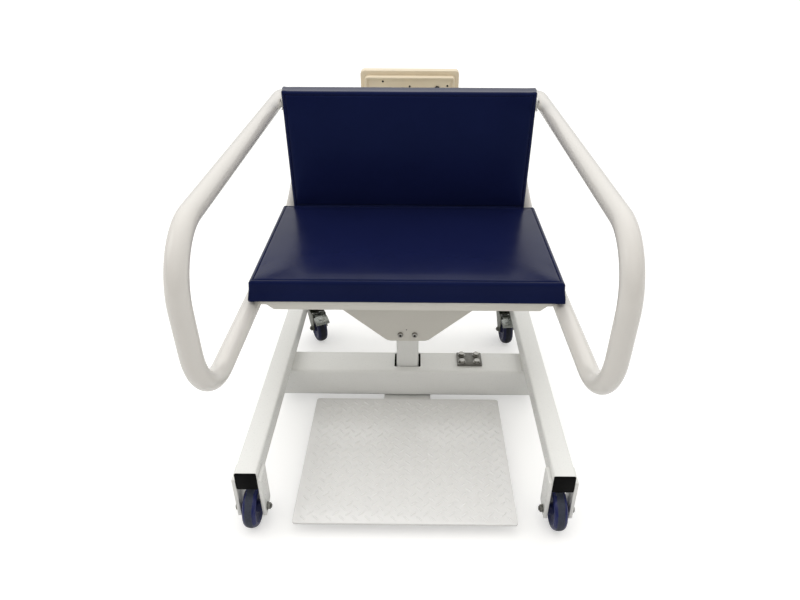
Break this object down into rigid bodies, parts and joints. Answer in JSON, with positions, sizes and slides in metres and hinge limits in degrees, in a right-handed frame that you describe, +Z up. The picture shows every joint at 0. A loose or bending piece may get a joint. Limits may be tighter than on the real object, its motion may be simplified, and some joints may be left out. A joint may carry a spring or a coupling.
{
  "type": "bariatric chair scale",
  "caption": "Wide padded weighing seat with tubular side loops on a wheeled steel base, with a hanging footplate and a tilting indicator behind the backrest.",
  "frame": {"origin": "on the floor, under the middle of the outline seen from above", "axes": "+X to the right of someone who faces the seat, +Y from the footplate towards the backrest, +Z up"},
  "size_m": [0.8224, 1.1141, 0.8636],
  "materials": {
    "white_paint": "gloss",
    "tread_plate": "satin",
    "vinyl": "satin",
    "black_plastic": "satin",
    "wheel_core": "satin",
    "wheel_tyre": "matte",
    "zinc": "satin",
    "bright_steel": "satin",
    "cell_aluminium": "satin",
    "beige_case": "satin",
    "display": "gloss",
    "keys": "satin"
  },
  "bodies": {
    "base": {"rail_left": "white_paint", "rail_right": "white_paint", "fork_plate_outer_left": "white_paint", "fork_plate_inner_left": "white_paint", "fork_plate_outer_right": "white_paint", "fork_plate_inner_right": "white_paint", "cross_beam": "white_paint", "rear_cross_member": "white_paint", "column": "white_paint", "seat_bracket": "white_paint", "seat_pan": "white_paint", "back_panel": "white_paint", "arm_tube_left": "white_paint", "arm_tube_right": "white_paint", "push_bar": "white_paint", "back_rail": "white_paint", "foot_bracket": "white_paint", "indicator_bracket": "white_paint", "footplate": "tread_plate", "seat_pad": "vinyl", "back_pad": "vinyl", "rail_cap_front_left": "black_plastic", "rail_cap_front_right": "black_plastic", "rail_cap_rear_left": "black_plastic", "rail_cap_rear_right": "black_plastic", "caster_plate_left": "zinc", "caster_plate_right": "zinc", "front_axle_left": "bright_steel", "front_axle_right": "bright_steel", "load_cell_plate": "bright_steel", "load_cell_bolt_1": "bright_steel", "load_cell_bolt_2": "bright_steel", "load_cell_bolt_3": "bright_steel", "load_cell_bolt_4": "bright_steel", "bracket_screw_left": "bright_steel", "bracket_screw_right": "bright_steel", "indicator_tilt_screw": "bright_steel", "load_cell": "cell_aluminium", "load_cell_spacer": "cell_aluminium"},
    "front_wheel_left": {"front_wheel_core_left": "wheel_core", "front_wheel_tyre_left": "wheel_tyre"},
    "caster_swivel_left": {"caster_fork_left": "zinc", "caster_axle_left": "bright_steel"},
    "caster_wheel_left": {"caster_core_left": "wheel_core", "caster_tyre_left": "wheel_tyre"},
    "brake_left": {"brake_pedal_left": "zinc"},
    "front_wheel_right": {"front_wheel_core_right": "wheel_core", "front_wheel_tyre_right": "wheel_tyre"},
    "caster_swivel_right": {"caster_fork_right": "zinc", "caster_axle_right": "bright_steel"},
    "caster_wheel_right": {"caster_core_right": "wheel_core", "caster_tyre_right": "wheel_tyre"},
    "brake_right": {"brake_pedal_right": "zinc"},
    "indicator": {"indicator_rear_case": "beige_case", "indicator_front_case": "beige_case", "indicator_display": "display", "cable_gland": "black_plastic"},
    "key_1": {"indicator_key_1": "keys"},
    "key_2": {"indicator_key_2": "keys"},
    "key_3": {"indicator_key_3": "keys"}
  },
  "joints": [
    {"name": "front_wheel_left_spin", "type": "hinge", "parent": "base", "child": "front_wheel_left", "pos_m": [-0.3587, -0.4514, 0.05], "axis": [1, 0, 0], "continuous": true},
    {"name": "front_wheel_right_spin", "type": "hinge", "parent": "base", "child": "front_wheel_right", "pos_m": [0.3587, -0.4514, 0.05], "axis": [1, 0, 0], "continuous": true},
    {"name": "caster_left_swivel", "type": "hinge", "parent": "base", "child": "caster_swivel_left", "pos_m": [-0.3235, 0.331, 0.114], "axis": [0, 0, 1], "continuous": true},
    {"name": "caster_left_spin", "type": "hinge", "parent": "caster_swivel_left", "child": "caster_wheel_left", "pos_m": [-0.30509, 0.29325, 0.05], "axis": [0.8988, 0.4384, 0], "continuous": true},
    {"name": "brake_left_press", "type": "hinge", "parent": "caster_swivel_left", "child": "brake_left", "pos_m": [-0.30399, 0.291, 0.1046], "axis": [0.8988, 0.4384, 0], "range_deg": [0, 10]},
    {"name": "caster_right_swivel", "type": "hinge", "parent": "base", "child": "caster_swivel_right", "pos_m": [0.3235, 0.331, 0.114], "axis": [0, 0, 1], "continuous": true},
    {"name": "caster_right_spin", "type": "hinge", "parent": "caster_swivel_right", "child": "caster_wheel_right", "pos_m": [0.32789, 0.28923, 0.05], "axis": [0.9945, 0.1045, 0], "continuous": true},
    {"name": "brake_right_press", "type": "hinge", "parent": "caster_swivel_right", "child": "brake_right", "pos_m": [0.32815, 0.28674, 0.1046], "axis": [0.9945, 0.1045, 0], "range_deg": [0, 10]},
    {"name": "indicator_tilt", "type": "hinge", "parent": "base", "child": "indicator", "pos_m": [0, 0.402, 0.773], "axis": [1, 0, 0], "range_deg": [-15, 15]},
    {"name": "key_1_press", "type": "slide", "parent": "indicator", "child": "key_1", "axis": [0, -0.9976, -0.0698], "range_m": [0, 0.0012], "stiffness_N_per_m": 300},
    {"name": "key_2_press", "type": "slide", "parent": "indicator", "child": "key_2", "axis": [0, -0.9976, -0.0698], "range_m": [0, 0.0012], "stiffness_N_per_m": 300},
    {"name": "key_3_press", "type": "slide", "parent": "indicator", "child": "key_3", "axis": [0, -0.9976, -0.0698], "range_m": [0, 0.0012], "stiffness_N_per_m": 300}
  ]
}
